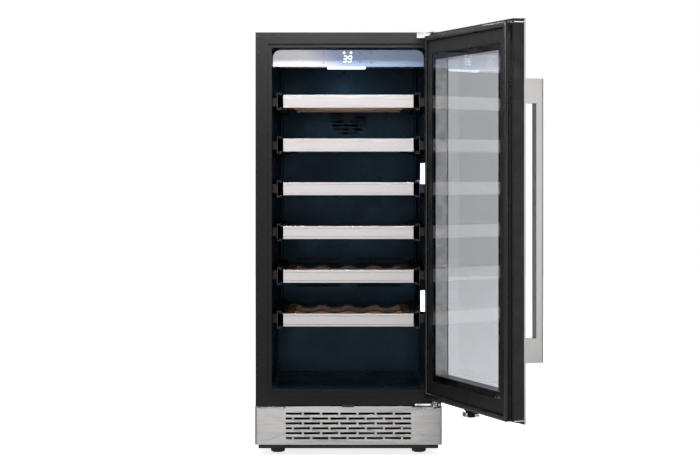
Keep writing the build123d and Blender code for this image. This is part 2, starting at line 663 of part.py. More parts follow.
def make_handle():
    low, high = HANDLE_Z
    handle = block(HANDLE_X, ahead(HANDLE_BACK, HANDLE_FRONT), HANDLE_Z)
    for z in ((low, low + HANDLE_BLOCK), (high - HANDLE_BLOCK, high)):
        handle += block(HANDLE_X, ahead(DOOR_FRONT, HANDLE_FRONT), z)
    outer_edges = handle.edges().filter_by(Axis.Z).group_by(Axis.Y)[0]
    save_door("handle", fillet(outer_edges, HANDLE_ROUND))


def make_lock():
    """A cam lock under the door; its tongue drops through the slot of the striker."""
    body_back = LOCK_TONGUE_BACK + 5.0
    body_front = body_back + 12.0
    barrel_front = body_front + 11.5
    top = DOOR_BOTTOM + BAND_INSET
    housing = block((-LOCK_PLATE_HALF, LOCK_PLATE_HALF), ahead(BAND_BACK + 0.5, body_front),
                    (top - 2.5, top))
    housing += block((-9, 9), ahead(body_back, body_front), (LOCK_AXIS_Z - 4.8, top))
    shaft_radius = 3.0
    housing -= rod((0, FRONT - body_back, LOCK_AXIS_Z), shaft_radius + 0.1, 40, "y")
    save_door("lock_housing", housing)

    barrel_back = body_front + 0.5
    barrel = (0, FRONT - (barrel_back + barrel_front) / 2, LOCK_AXIS_Z)
    cylinder = rod(barrel, LOCK_RADIUS, barrel_front - barrel_back, "y")
    cylinder -= block((-0.8, 0.8), ahead(barrel_front - 2.5, barrel_front + 1),
                      (LOCK_AXIS_Z - 3, LOCK_AXIS_Z + 3))
    shaft = (0, FRONT - (LOCK_TONGUE_BACK + barrel_back) / 2, LOCK_AXIS_Z)
    cylinder += rod(shaft, shaft_radius, barrel_back - LOCK_TONGUE_BACK + 1, "y")
    cylinder += block((-4, 12), ahead(LOCK_TONGUE_BACK, LOCK_TONGUE_BACK + 3),
                      (LOCK_AXIS_Z - 4, LOCK_AXIS_Z + 4))
    save_door("lock_cylinder", cylinder)


make_shell()
make_bulkhead()
make_liner_and_foam()
make_front_frame()
make_feet()
make_base_pan()
make_kick_plate()
make_hinges()
make_evaporator()
make_controls()
make_compressor()
make_condenser()
make_pipes()
make_rear_cover()
make_slide_rails()
for shelf in range(SHELF_COUNT):
    make_shelf(shelf)
make_door()
make_handle()
make_lock()
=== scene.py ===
"""Looks for the wine cooler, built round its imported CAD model.

Metres, +Z up, and the front faces -Y.  Pieces of the door are built with the door shut and
then swung to the rest position, which is wide open.
"""
import json
import math

import bmesh
import bpy
from mathutils import Matrix, Vector


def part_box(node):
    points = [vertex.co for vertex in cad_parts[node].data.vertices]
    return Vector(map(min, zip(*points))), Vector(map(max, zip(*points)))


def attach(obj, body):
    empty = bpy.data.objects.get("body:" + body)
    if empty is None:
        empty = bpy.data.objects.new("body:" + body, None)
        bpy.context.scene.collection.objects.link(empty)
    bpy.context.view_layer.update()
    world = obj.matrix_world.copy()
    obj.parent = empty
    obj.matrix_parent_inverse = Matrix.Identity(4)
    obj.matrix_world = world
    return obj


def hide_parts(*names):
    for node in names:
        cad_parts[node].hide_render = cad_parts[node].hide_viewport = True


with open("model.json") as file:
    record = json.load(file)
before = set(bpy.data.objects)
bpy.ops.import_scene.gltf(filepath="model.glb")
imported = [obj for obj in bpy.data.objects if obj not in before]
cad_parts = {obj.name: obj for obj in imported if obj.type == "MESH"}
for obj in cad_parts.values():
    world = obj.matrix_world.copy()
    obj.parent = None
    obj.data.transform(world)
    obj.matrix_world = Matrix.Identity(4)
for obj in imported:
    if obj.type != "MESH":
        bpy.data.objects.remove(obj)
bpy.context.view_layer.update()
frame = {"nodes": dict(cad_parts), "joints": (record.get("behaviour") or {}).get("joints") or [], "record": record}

MM = 0.001
NODES = frame["nodes"]
HINGE = next(joint for joint in frame["joints"] if joint["name"] == "door_hinge")
PIVOT = Vector(HINGE["pos_m"])
OPENING = Matrix.Rotation(-math.radians(HINGE["range_deg"][0]), 4, Vector(HINGE["axis"]))
SWING = Matrix.Translation(PIVOT) @ OPENING @ Matrix.Translation(-PIVOT)


# ---- Places taken from the frame ---------------------------------------------------------------
def corners(points):
    """(lowest, highest) corner of some points."""
    points = list(points)
    low = Vector(min(p[axis] for p in points) for axis in range(3))
    high = Vector(max(p[axis] for p in points) for axis in range(3))
    return low, high


def shut_box(node):
    """The box of a door node with the door shut."""
    back = SWING.inverted()
    return corners(back @ vertex.co for vertex in NODES[node].data.vertices)


FRONT_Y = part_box("front_frame")[0].y
PANEL_LOW, PANEL_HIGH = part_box("control_panel")
DOOR_LOW, DOOR_HIGH = shut_box("door_frame")
SEAL_LOW, SEAL_HIGH = shut_box("door_gasket")


# ---- Mesh helpers ------------------------------------------------------------------------------
def piece(name, mesh, body, material, smooth_angle=40.0):
    """A new piece that rides on a body and takes its finish from a material slot."""
    if isinstance(mesh, bmesh.types.BMesh):
        made = bpy.data.meshes.new(name)
        bmesh.ops.recalc_face_normals(mesh, faces=mesh.faces)
        mesh.to_mesh(made)
        mesh.free()
        mesh = made
    mesh.shade_smooth()
    mesh.set_sharp_from_angle(angle=math.radians(smooth_angle))
    mesh.materials.append(material)
    item = bpy.data.objects.new(name, mesh)
    bpy.context.scene.collection.objects.link(item)
    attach(item, body)
    return item


def door_piece(name, mesh, material, smooth_angle=40.0):
    """A piece built on the shut door, swung open with it."""
    bmesh.ops.transform(mesh, matrix=SWING, verts=mesh.verts)
    return piece(name, mesh, "door", material, smooth_angle)


def ring_of(outline, low, high, front_y):
    """A closed outline swept round a rectangle with mitred corners.

    The outline's points are (distance inwards from the edge, distance ahead of front_y).
    """
    mesh = bmesh.new()
    rings = []
    for side_x, side_z in ((-1, -1), (1, -1), (1, 1), (-1, 1)):
        ring = []
        for inwards, ahead in outline:
            x = low.x + inwards if side_x < 0 else high.x - inwards
            z = low.z + inwards if side_z < 0 else high.z - inwards
            ring.append(mesh.verts.new((x, front_y - ahead, z)))
        rings.append(ring)
    count = len(outline)
    for here, after in zip(rings, rings[1:] + rings[:1]):
        for i in range(count):
            j = (i + 1) % count
            mesh.faces.new((here[i], here[j], after[j], after[i]))
    return mesh


def plate(mesh, points, y, thickness):
    """Adds a flat shape in X and Z, standing proud towards -Y."""
    back = [mesh.verts.new((x, y, z)) for x, z in points]
    face = mesh.faces.new(back)
    raised = bmesh.ops.extrude_face_region(mesh, geom=[face])
    moved = [item for item in raised["geom"] if isinstance(item, bmesh.types.BMVert)]
    bmesh.ops.translate(mesh, verts=moved, vec=(0, -thickness, 0))


def disc_points(x, z, radius, count=24):
    turns = [2 * math.pi * i / count for i in range(count)]
    return [(x + radius * math.cos(t), z + radius * math.sin(t)) for t in turns]


def arc_band(x, z, radius, width, start, end, count=20):
    """The outline of part of a ring, between two angles in degrees."""
    turns = [math.radians(start + (end - start) * i / count) for i in range(count + 1)]
    outer = [(x + (radius + width / 2) * math.cos(t), z + (radius + width / 2) * math.sin(t))
             for t in turns]
    inner = [(x + (radius - width / 2) * math.cos(t), z + (radius - width / 2) * math.sin(t))
             for t in reversed(turns)]
    return outer + inner


# ---- Materials ---------------------------------------------------------------------------------
class Surface:
    """A Principled material whose colour, roughness and relief come from textures."""

    def __init__(self, name, metallic=0.0, **sockets):
        self.material = bpy.data.materials.new(name)
        self.material.use_nodes = True
        self.tree = self.material.node_tree
        self.shader = self.tree.nodes["Principled BSDF"]
        self.shader.inputs["Metallic"].default_value = metallic
        for socket, value in sockets.items():
            self.shader.inputs[socket.replace("_", " ")].default_value = value
        self.place = self.node("ShaderNodeTexCoord").outputs["Object"]
        self.relief = None

    def node(self, kind, inputs=None, **settings):
        made = self.tree.nodes.new(kind)
        for name, value in settings.items():
            setattr(made, name, value)
        for name, value in (inputs or {}).items():
            if isinstance(value, bpy.types.NodeSocket):
                self.tree.links.new(value, made.inputs[name])
            else:
                made.inputs[name].default_value = value
        return made

    def stretched(self, stretch):
        return self.node("ShaderNodeMapping",
                         {"Vector": self.place, "Scale": stretch}).outputs["Vector"]

    def noise(self, scale, stretch=(1, 1, 1), detail=3.0, distortion=0.0):
        return self.node("ShaderNodeTexNoise",
                         {"Vector": self.stretched(stretch), "Scale": scale, "Detail": detail,
                          "Distortion": distortion}).outputs["Fac"]

    def cells(self, scale, stretch=(1, 1, 1)):
        return self.node("ShaderNodeTexVoronoi",
                         {"Vector": self.stretched(stretch), "Scale": scale}).outputs["Distance"]

    def between(self, value, start, end, low=0.0, high=1.0):
        """Maps start..end of a texture onto low..high."""
        return self.node("ShaderNodeMapRange",
                         {"Value": value, "From Min": start, "From Max": end,
                          "To Min": low, "To Max": high}).outputs["Result"]

    def maths(self, operation, first, second=0.0):
        made = self.node("ShaderNodeMath", operation=operation)
        for socket, value in zip(made.inputs, (first, second)):
            if isinstance(value, bpy.types.NodeSocket):
                self.tree.links.new(value, socket)
            else:
                socket.default_value = value
        return made.outputs[0]

    def mixed(self, factor, first, second):
        """A colour between two others, each a colour or a socket."""
        made = self.node("ShaderNodeMix", data_type="RGBA")
        for socket, value in ((made.inputs[0], factor), (made.inputs[6], first),
                              (made.inputs[7], second)):
            if isinstance(value, bpy.types.NodeSocket):
                self.tree.links.new(value, socket)
            else:
                socket.default_value = (*value, 1.0)
        return made.outputs[2]

    def paint(self, colour):
        self.tree.links.new(colour, self.shader.inputs["Base Color"])

    def shine(self, roughness):
        self.tree.links.new(roughness, self.shader.inputs["Roughness"])

    def raise_by(self, height, distance, strength=1.0):
        """Adds relief; distance is its depth in metres."""
        inputs = {"Height": height, "Distance": distance, "Strength": strength}
        if self.relief is not None:
            inputs["Normal"] = self.relief
        self.relief = self.node("ShaderNodeBump", inputs).outputs["Normal"]
        self.tree.links.new(self.relief, self.shader.inputs["Normal"])


def grey(level, blue=0.0):
    return (level, level, level * (1 + blue))


def mottled(surface, dark, light, scale, shiny, dull):
    """Cloudy colour and roughness, as on any handled or moulded surface."""
    cloud = surface.noise(scale, detail=5.0)
    surface.paint(surface.mixed(surface.between(cloud, 0.3, 0.7), dark, light))
    surface.shine(surface.between(surface.noise(scale * 2.3, detail=4.0), 0.3, 0.7, shiny, dull))


def powder_coat(name, dark, light, shiny, dull, peel=0.00004, gloss=0.5):
    """Baked paint with a fine orange peel."""
    surface = Surface(name, Specular_IOR_Level=gloss)
    mottled(surface, dark, light, 7.0, shiny, dull)
    surface.raise_by(surface.noise(650.0, detail=2.0), peel)
    surface.raise_by(surface.noise(90.0, detail=2.0), peel)
    return surface.material


def brushed(name, dark, light, along, shiny, dull):
    """Stainless steel with its grain along one axis."""
    surface = Surface(name, metallic=1.0)
    if along == "x":
        upright = surface.node("ShaderNodeCombineXYZ", {"Z": 1.0}).outputs["Vector"]
        surface.tree.links.new(upright, surface.shader.inputs["Tangent"])
        surface.shader.inputs["Anisotropic"].default_value = 0.5
    fine = tuple(0.012 if axis == along else 1.0 for axis in "xyz")
    broad = tuple(0.04 if axis == along else 1.0 for axis in "xyz")
    streaks = surface.noise(1900.0, fine, detail=4.0)
    bands = surface.noise(170.0, broad, detail=5.0)
    cloud = surface.noise(4.0, detail=3.0)
    tone = surface.maths("ADD", surface.maths("MULTIPLY", streaks, 0.55),
                         surface.maths("MULTIPLY", bands, 0.3))
    tone = surface.maths("ADD", tone, surface.maths("MULTIPLY", cloud, 0.15))
    surface.paint(surface.mixed(surface.between(tone, 0.36, 0.64), dark, light))
    surface.shine(surface.between(tone, 0.3, 0.7, shiny, dull))
    surface.raise_by(streaks, 0.00002, 0.8)
    return surface.material


def gloss_liner():
    """Thermoformed sheet: glossy, with slow waves from the forming."""
    # Painted light: the blue specular tint colours every reflection on the black liner, standing in for the cavity
    # lamps' blue glow.
    surface = Surface("gloss_liner", Specular_IOR_Level=0.30, Specular_Tint=(0.40, 0.72, 1.0, 1.0))
    mottled(surface, (0.005, 0.009, 0.014), (0.008, 0.014, 0.022), 5.0, 0.22, 0.36)
    surface.raise_by(surface.noise(16.0, detail=2.0), 0.0004, 0.5)
    surface.raise_by(surface.noise(700.0, detail=2.0), 0.00001)
    return surface.material


def moulded(name, dark, light, shiny, dull, texture=260.0):
    """Plastic with a spark-eroded texture."""
    surface = Surface(name)
    mottled(surface, dark, light, 18.0, shiny, dull)
    surface.raise_by(surface.noise(texture * 4, detail=3.0), 0.00005)
    surface.raise_by(surface.cells(texture * 3), 0.00003)
    return surface.material


def zinc_plate(name, dark, light, shiny, dull):
    """Plated sheet with crystals of slightly different brightness."""
    surface = Surface(name, metallic=1.0)
    crystals = surface.node("ShaderNodeTexVoronoi",
                            {"Vector": surface.stretched((1, 1, 1)), "Scale": 130.0})
    tint = surface.node("ShaderNodeSeparateColor", {"Color": crystals.outputs["Color"]})
    flake = tint.outputs[0]
    cloud = surface.noise(12.0)
    tone = surface.maths("ADD", surface.maths("MULTIPLY", flake, 0.5),
                         surface.maths("MULTIPLY", cloud, 0.5))
    surface.paint(surface.mixed(surface.between(tone, 0.2, 0.8), dark, light))
    surface.shine(surface.between(tone, 0.2, 0.8, shiny, dull))
    surface.raise_by(surface.noise(420.0), 0.00003)
    return surface.material


def beech(side_edge):
    """Oiled beech: the long rails run along Y and the slats along X."""
    surface = Surface("beech")
    split = surface.node("ShaderNodeSeparateXYZ", {"Vector": surface.place})
    on_side = surface.maths("GREATER_THAN", surface.maths("ABSOLUTE", split.outputs["X"]), side_edge)

    def along_grain(scale, stretch, detail=4.0):
        slat = surface.noise(scale, stretch, detail, 0.3)
        rail = surface.noise(scale, (stretch[1], stretch[0], stretch[2]), detail, 0.3)
        pick = surface.node("ShaderNodeMix", {0: on_side, 2: slat, 3: rail}, data_type="FLOAT")
        return pick.outputs[0]

    rings = along_grain(60.0, (0.06, 1.0, 1.6), 6.0)
    fibres = along_grain(900.0, (0.02, 1.0, 1.0), 3.0)
    flecks = along_grain(420.0, (0.10, 1.0, 1.0), 1.0)
    base = surface.mixed(surface.between(rings, 0.32, 0.68),
                         (0.46, 0.255, 0.145), (0.66, 0.42, 0.27))
    base = surface.mixed(surface.between(fibres, 0.45, 0.75, 0.0, 0.35), base, (0.33, 0.16, 0.09))
    base = surface.mixed(surface.between(flecks, 0.63, 0.70, 0.0, 0.55), base, (0.27, 0.12, 0.06))
    surface.paint(base)
    surface.shine(surface.between(rings, 0.3, 0.7, 0.42, 0.60))
    surface.raise_by(fibres, 0.00006, 0.7)
    return surface.material


def tinted_glass():
    surface = Surface("tinted_glass", IOR=1.5, Transmission_Weight=1.0)
    cloud = surface.noise(3.0)
    surface.paint(surface.mixed(cloud, (0.76, 0.78, 0.80), (0.79, 0.81, 0.83)))
    surface.shine(surface.between(surface.noise(25.0, detail=6.0), 0.45, 0.75, 0.0, 0.05))
    surface.raise_by(surface.noise(2.5, detail=1.0), 0.0003, 0.2)
    return surface.material


def rubber(name):
    surface = Surface(name, Specular_IOR_Level=0.8)
    mottled(surface, grey(0.006), grey(0.011), 30.0, 0.24, 0.36)
    surface.raise_by(surface.noise(900.0), 0.00001)
    return surface.material


def rigid_foam():
    surface = Surface("rigid_foam")
    mottled(surface, (0.62, 0.52, 0.30), (0.82, 0.74, 0.52), 40.0, 0.80, 0.95)
    surface.raise_by(surface.cells(300.0), 0.0006)
    return surface.material


def panel_film_painted_reflection():
    """The control panel's film: slate blue, darker towards the right, with a pale painted reflection over its left
    part.
    """
    surface = Surface("panel_film_painted_reflection", metallic=0.55)
    grain = surface.noise(1500.0, (0.02, 1.0, 1.0))
    cloud = surface.noise(9.0)
    tone = surface.maths("ADD", surface.maths("MULTIPLY", grain, 0.4),
                         surface.maths("MULTIPLY", cloud, 0.6))
    place = surface.node("ShaderNodeSeparateXYZ", {"Vector": surface.place})
    # Painted reflection: the pale colour covers the left of the film up to a slanting edge; beyond it the blue
    # film darkens towards the right.
    slant = surface.maths("ADD", place.outputs["X"], surface.maths("MULTIPLY", place.outputs["Z"], 0.9))
    middle = 0.9 * (PANEL_LOW.z + PANEL_HIGH.z) / 2
    pale = surface.mixed(surface.between(tone, 0.3, 0.7), (0.68, 0.66, 0.72), (0.79, 0.78, 0.83))
    blue = surface.mixed(surface.between(place.outputs["X"], 0.0, PANEL_HIGH.x),
                         (0.33, 0.41, 0.60), (0.20, 0.26, 0.38))
    surface.paint(surface.mixed(surface.between(slant, middle - 85 * MM, middle - 20 * MM), pale, blue))
    surface.shine(surface.between(tone, 0.3, 0.7, 0.30, 0.42))
    surface.raise_by(grain, 0.00001)
    return surface.material


def circuit_board():
    surface = Surface("circuit_board")
    tracks = surface.cells(180.0, (1.0, 1.0, 2.5))
    copper_edge = surface.between(tracks, 0.35, 0.42)
    surface.paint(surface.mixed(copper_edge, (0.02, 0.12, 0.05), (0.04, 0.24, 0.10)))
    surface.shine(surface.between(surface.noise(60.0), 0.3, 0.7, 0.25, 0.45))
    surface.raise_by(copper_edge, 0.00005)
    return surface.material


def lit(name, colour, glow, strength):
    """A frosted lens or display segment lit from behind."""
    surface = Surface(name, Emission_Color=(*glow, 1.0), Emission_Strength=strength)
    frost = surface.noise(700.0)
    surface.paint(surface.mixed(frost, tuple(0.9 * level for level in colour), colour))
    surface.shine(surface.between(frost, 0.3, 0.7, 0.35, 0.55))
    surface.raise_by(frost, 0.00002)
    return surface.material


def drawn_metal(name, dark, light, shiny, dull):
    surface = Surface(name, metallic=1.0)
    mottled(surface, dark, light, 45.0, shiny, dull)
    surface.raise_by(surface.noise(500.0), 0.00003)
    return surface.material


RACK_RAIL = 16 * MM
RACK_SIDE_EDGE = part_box("shelf_1_rack")[1].x - RACK_RAIL
STEEL_DARK, STEEL_LIGHT = (0.60, 0.59, 0.58), (0.80, 0.79, 0.78)
# Painted shade: the door's skin and handle use a darker copy of the same stainless steel, so they render dimmer
# than the kick plate.
DOOR_STEEL_PAINTED_SHADE_DARK, DOOR_STEEL_PAINTED_SHADE_LIGHT = (0.40, 0.39, 0.38), (0.54, 0.53, 0.52)

FINISHES = {
    "case_black": powder_coat("case_coat", grey(0.012, 0.05), grey(0.022, 0.05), 0.34, 0.46),
    "frame_black": powder_coat("frame_coat", grey(0.005), grey(0.009), 0.50, 0.62, 0.00003, 0.4),
    "liner_black": gloss_liner(),
    "stainless": brushed("brushed_steel_x", STEEL_DARK, STEEL_LIGHT, "x", 0.24, 0.38),
    "shelf_steel": brushed("brushed_steel_shelf", (0.57, 0.54, 0.54), (0.69, 0.66, 0.66), "x", 0.30, 0.44),
    "zinc": zinc_plate("zinc_plate", grey(0.16), grey(0.28), 0.44, 0.58),
    "slide_black": powder_coat("slide_coat", grey(0.014, 0.2), grey(0.026, 0.2), 0.28, 0.42),
    "bright_metal": drawn_metal("bright_metal", grey(0.55), grey(0.72), 0.12, 0.26),
    "beech": beech(RACK_SIDE_EDGE),
    "tinted_glass": tinted_glass(),
    "seal_rubber": rubber("seal_rubber"),
    "foam": rigid_foam(),
    "panel_silver": panel_film_painted_reflection(),
    "circuit": circuit_board(),
    "lamp_lens": lit("lamp_lens", (0.85, 0.90, 1.0), (0.62, 0.78, 1.0), 2.6),
    "spacer_metal": drawn_metal("spacer_metal", grey(0.50), grey(0.66), 0.34, 0.52),
    "coil_metal": drawn_metal("coil_metal", grey(0.45), grey(0.66), 0.30, 0.50),
    "copper": drawn_metal("copper", (0.42, 0.17, 0.09), (0.66, 0.33, 0.20), 0.26, 0.48),
    "enamel_black": powder_coat("enamel", grey(0.006), grey(0.012), 0.12, 0.24, 0.00002),
    "fan_plastic": moulded("fan_plastic", grey(0.012), grey(0.024), 0.40, 0.58),
}
NODE_FINISHES = {
    # door skin and handle: the darker steel is painted shade
    "door_skin": brushed("brushed_steel_z", DOOR_STEEL_PAINTED_SHADE_DARK, DOOR_STEEL_PAINTED_SHADE_LIGHT, "z", 0.24, 0.38),
    "door_frame": moulded("door_frame_plastic", grey(0.006), grey(0.012), 0.36, 0.50),
}
NODE_FINISHES["handle"] = NODE_FINISHES["door_skin"]


def dress_nodes():
    for part in frame["record"]["subparts"]:
        node = NODES[part["node"]]
        finish = NODE_FINISHES.get(part["node"], FINISHES[part["material_slot"]])
        node.data.materials.clear()
        node.data.materials.append(finish)
    spacer = NODES["glass_spacer"].data
    spacer.materials.append(rubber("edge_sealant"))
    outwards = OPENING @ Vector((0, -1, 0))
    for face in spacer.polygons:
        face.material_index = 1 if abs(face.normal.dot(outwards)) > 0.7 else 0


# ---- Softened edges on the CAD nodes --------------------------------------------------------------
EDGE_WIDTHS = {                    # millimetres
    "side_panel_left": 0.3, "side_panel_right": 0.3, "top_panel": 0.3, "back_panel": 0.2,
    "front_frame": 0.8, "kick_plate": 0.4, "hinge_brackets": 0.35, "lock_striker": 0.3,
    "control_panel": 0.5, "rear_cover": 0.25, "door_frame": 0.8, "door_skin": 0.25,
    "handle": 0.9, "lock_housing": 0.5, "base_pan": 0.3, "slide_rails": 0.25,
    "evaporator_cover": 0.5, "inner_glass": 0.4, "outer_glass": 0.4,
}
for shelf in range(1, 7):
    EDGE_WIDTHS[f"shelf_{shelf}_front"] = 0.4
    EDGE_WIDTHS[f"shelf_{shelf}_rack"] = 1.2
    EDGE_WIDTHS[f"shelf_{shelf}_runners"] = 0.25


def soften(name, width):
    """Small bevels on a CAD node's sharp edges, which real sheet and mouldings have."""
    node = NODES[name]
    if "custom_normal" in node.data.attributes:
        node.data.attributes.remove(node.data.attributes["custom_normal"])
    node.data.shade_smooth()
    weld = node.modifiers.new("weld", "WELD")
    weld.merge_threshold = 1e-6
    bevel = node.modifiers.new("bevel", "BEVEL")
    bevel.width = width * MM
    bevel.segments = 2
    bevel.limit_method = "ANGLE"
    bevel.angle_limit = math.radians(40)
    bevel.use_clamp_overlap = True
    bevel.harden_normals = True


# ---- Door seal ------------------------------------------------------------------------------------
SEAL_WIDTH = 11.7 * MM
HINGE_CLEARANCE = 1.4 * MM         # leaf of a hinge bracket, and a little air
NOSE_AHEAD = FRONT_Y - SEAL_HIGH.y
FOOT_AHEAD = FRONT_Y - SEAL_LOW.y


def seal_outline():
    """Cross-section of the door seal: a foot, two folds each side and the magnet's flat sleeve."""
    foot, nose = FOOT_AHEAD, NOSE_AHEAD
    sleeve = nose + 4.2 * MM
    fold_top = foot - 1.6 * MM
    folds = []
    steps = 20
    for i in range(steps + 1):
        share = i / steps
        ahead = fold_top + (sleeve - fold_top) * share
        inset = 1.5 * MM - 1.1 * MM * math.cos(2 * math.pi * 2 * share)
        folds.append((inset, ahead))
    outer = [(0.2 * MM, foot), (0.2 * MM, fold_top)] + folds[1:]
    nose_round = 0.9 * MM
    cap = [(0.9 * MM, nose + nose_round), (0.9 * MM + nose_round, nose)]
    left = outer + cap
    right = [(SEAL_WIDTH - inwards, ahead) for inwards, ahead in reversed(left)]
    return left + right


def clear_hinge(mesh):
    """Keeps the seal's nose inside the circle that clears the hinge leaves as the door swings."""
    reach = FRONT_Y - PIVOT.y - HINGE_CLEARANCE
    for vertex in mesh.verts:
        aside, back = vertex.co.x - PIVOT.x, vertex.co.y - PIVOT.y
        distance = math.hypot(aside, back)
        if aside > 0 and back > 0 and distance > reach:
            vertex.co.x = PIVOT.x + aside * reach / distance
            vertex.co.y = PIVOT.y + back * reach / distance


def make_seal():
    mesh = ring_of(seal_outline(), SEAL_LOW, SEAL_HIGH, FRONT_Y)
    clear_hinge(mesh)
    seal = door_piece("door_seal", mesh, FINISHES["seal_rubber"], 60.0)
    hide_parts("door_gasket")


# ---- Door edge trims --------------------------------------------------------------------------------
def add_box(mesh, low, high):
    """Adds a box between two opposite corners."""
    low, high = Vector(low), Vector(high)
    made = bmesh.ops.create_cube(mesh, size=1.0)["verts"]
    bmesh.ops.scale(mesh, vec=high - low, verts=made)
    bmesh.ops.translate(mesh, vec=(low + high) / 2, verts=made)


def make_edge_trims():
    """Bright strips and corner caps on the door's free edge."""
    side = DOOR_LOW.x
    proud = 0.35 * MM
    depth = (DOOR_LOW.y + 2.5 * MM, DOOR_HIGH.y - 11.5 * MM)
    strips, caps = bmesh.new(), bmesh.new()
    for edge, inwards in ((DOOR_LOW.z, 1), (DOOR_HIGH.z, -1)):
        strip = sorted((edge + inwards * 5.4 * MM, edge + inwards * 7.0 * MM))
        add_box(strips, (side - proud, depth[0], strip[0]), (side + proud, depth[1], strip[1]))
        cap = sorted((edge + inwards * 8.0 * MM, edge + inwards * 36.0 * MM))
        add_box(caps, (side - proud / 2, depth[0], cap[0]), (side + proud, depth[1], cap[1]))
    door_piece("door_edge_strips", strips, FINISHES["bright_metal"])
    door_piece("door_corner_caps", caps, FINISHES["fan_plastic"])


# ---- Display and printed symbols ------------------------------------------------------------------
DISPLAY_PROUD = 0.25 * MM
INK_PROUD = 0.12 * MM
LAMPS_X, ARROWS_X, POWER_X = -51.2 * MM, 23.9 * MM, 47.3 * MM     # columns of symbols
FIGURE_HEIGHT = 12 * MM
FIGURE_STEP = 10.2 * MM
FIRST_FIGURE_X = -11.0 * MM
SEGMENTS = {"3": "abgcd", "9": "abcdfg"}


def digit(mesh, character, x, z, height, y):
    """Adds a slanted seven-segment figure with its lower left corner at x, z."""
    width, bar = height * 0.56, height * 0.13
    gap = bar * 0.18
    lean = 0.10
    ends = {
        "a": ((0, height), (width, height)), "g": ((0, height / 2), (width, height / 2)),
        "d": ((0, 0), (width, 0)), "f": ((0, height / 2), (0, height)),
        "e": ((0, 0), (0, height / 2)), "b": ((width, height / 2), (width, height)),
        "c": ((width, 0), (width, height / 2)),
    }
    for segment in SEGMENTS[character]:
        start, end = (Vector(point) for point in ends[segment])
        run = (end - start).normalized()
        side = Vector((-run.y, run.x)) * bar / 2
        start, end = start + run * gap, end - run * gap
        tip = run * bar / 2
        points = [start, start + tip + side, end - tip + side, end, end - tip - side,
                  start + tip - side]
        plate(mesh, [(x + p.x + p.y * lean, z + p.y) for p in points], y, DISPLAY_PROUD)


def make_display():
    """Two lit figures below two indicator lamps, just proud of the panel's film."""
    y = PANEL_LOW.y
    middle = (PANEL_LOW.z + PANEL_HIGH.z) / 2
    mesh = bmesh.new()
    for index, character in enumerate("39"):
        x = FIRST_FIGURE_X + FIGURE_STEP * index
        digit(mesh, character, x, middle - 9.0 * MM, FIGURE_HEIGHT, y)
    glow = lit("display_glow", (0.9, 0.95, 1.0), (0.72, 0.86, 1.0), 2.2)
    piece("display_figures", mesh, "cabinet", glow)
    lamps = bmesh.new()
    for x in (-9.0 * MM, 5.4 * MM):
        plate(lamps, disc_points(x, middle + 9.6 * MM, 2.3 * MM), y, DISPLAY_PROUD)
    piece("display_indicators", lamps, "cabinet", glow)


def add_arrow(mesh, x, z, reach, y):
    """Adds a triangle that points up, or down if its reach is negative."""
    half_width, base = abs(reach), z - reach * 0.7
    plate(mesh, [(x - half_width, base), (x + half_width, base), (x, z + reach)], y, INK_PROUD)


def add_bar(mesh, x, low, high, half_width, y):
    """Adds an upright rectangle, centred on x."""
    points = [(x - half_width, low), (x + half_width, low), (x + half_width, high),
              (x - half_width, high)]
    plate(mesh, points, y, INK_PROUD)


def add_ring(mesh, x, z, radius, width, start, end, y):
    plate(mesh, arc_band(x, z, radius, width, start, end), y, INK_PROUD)


def make_symbols():
    """Printed touch symbols: lamps, up and down, unit and power."""
    y = PANEL_LOW.y
    high, low = PANEL_HIGH.z - 9.8 * MM, PANEL_LOW.z + 8.8 * MM
    mesh = bmesh.new()
    add_arrow(mesh, ARROWS_X, high, 2.0 * MM, y)
    add_arrow(mesh, ARROWS_X, low, -2.0 * MM, y)
    add_ring(mesh, POWER_X, low, 2.3 * MM, 0.7 * MM, 125, 415, y)
    add_bar(mesh, POWER_X, low + 0.6 * MM, low + 3.2 * MM, 0.35 * MM, y)
    add_ring(mesh, POWER_X - 2.2 * MM, high + 0.8 * MM, 1.1 * MM, 0.6 * MM, 0, 359, y)
    add_ring(mesh, POWER_X + 2.0 * MM, high - 0.8 * MM, 1.5 * MM, 0.6 * MM, 60, 300, y)
    for z in (high, low):
        add_ring(mesh, LAMPS_X, z + 0.4 * MM, 1.6 * MM, 0.6 * MM, -60, 240, y)
        add_bar(mesh, LAMPS_X, z - 2.4 * MM, z - 1.5 * MM, 0.8 * MM, y)
    ink = moulded("symbol_ink", grey(0.06), grey(0.10), 0.4, 0.55)
    piece("panel_symbols", mesh, "cabinet", ink)


# ---- Screws -----------------------------------------------------------------------------------------
def screw_head(mesh, centre, outwards, radius):
    """Adds a pan head with a cross recess, facing one of the six axis directions."""
    direction = Vector(outwards)
    turn = Vector((0, 0, 1)).rotation_difference(direction).to_matrix()
    sides, rings = 40, 10
    arm, slot = radius * 0.62, radius * 0.15
    grid = []
    for ring in range(rings + 1):
        r = radius * ring / rings
        row = []
        for side in range(sides):
            angle = 2 * math.pi * (side + 0.5) / sides
            x, y = r * math.cos(angle), r * math.sin(angle)
            dome = radius * 0.55 * math.sqrt(max(0.0, 1 - (r / radius) ** 2.6))
            in_cross = min(abs(x), abs(y)) < slot * (1.1 - 0.5 * r / arm) and r < arm
            height = dome - (radius * 0.42 if in_cross else 0.0)
            row.append(mesh.verts.new(Vector(centre) + turn @ Vector((x, y, height))))
        grid.append(row)
    for inner, outer in zip(grid[1:], grid[2:]):
        for i in range(sides):
            j = (i + 1) % sides
            mesh.faces.new((inner[i], inner[j], outer[j], outer[i]))
    mesh.faces.new(grid[1])
    bmesh.ops.delete(mesh, geom=grid[0], context="VERTS")


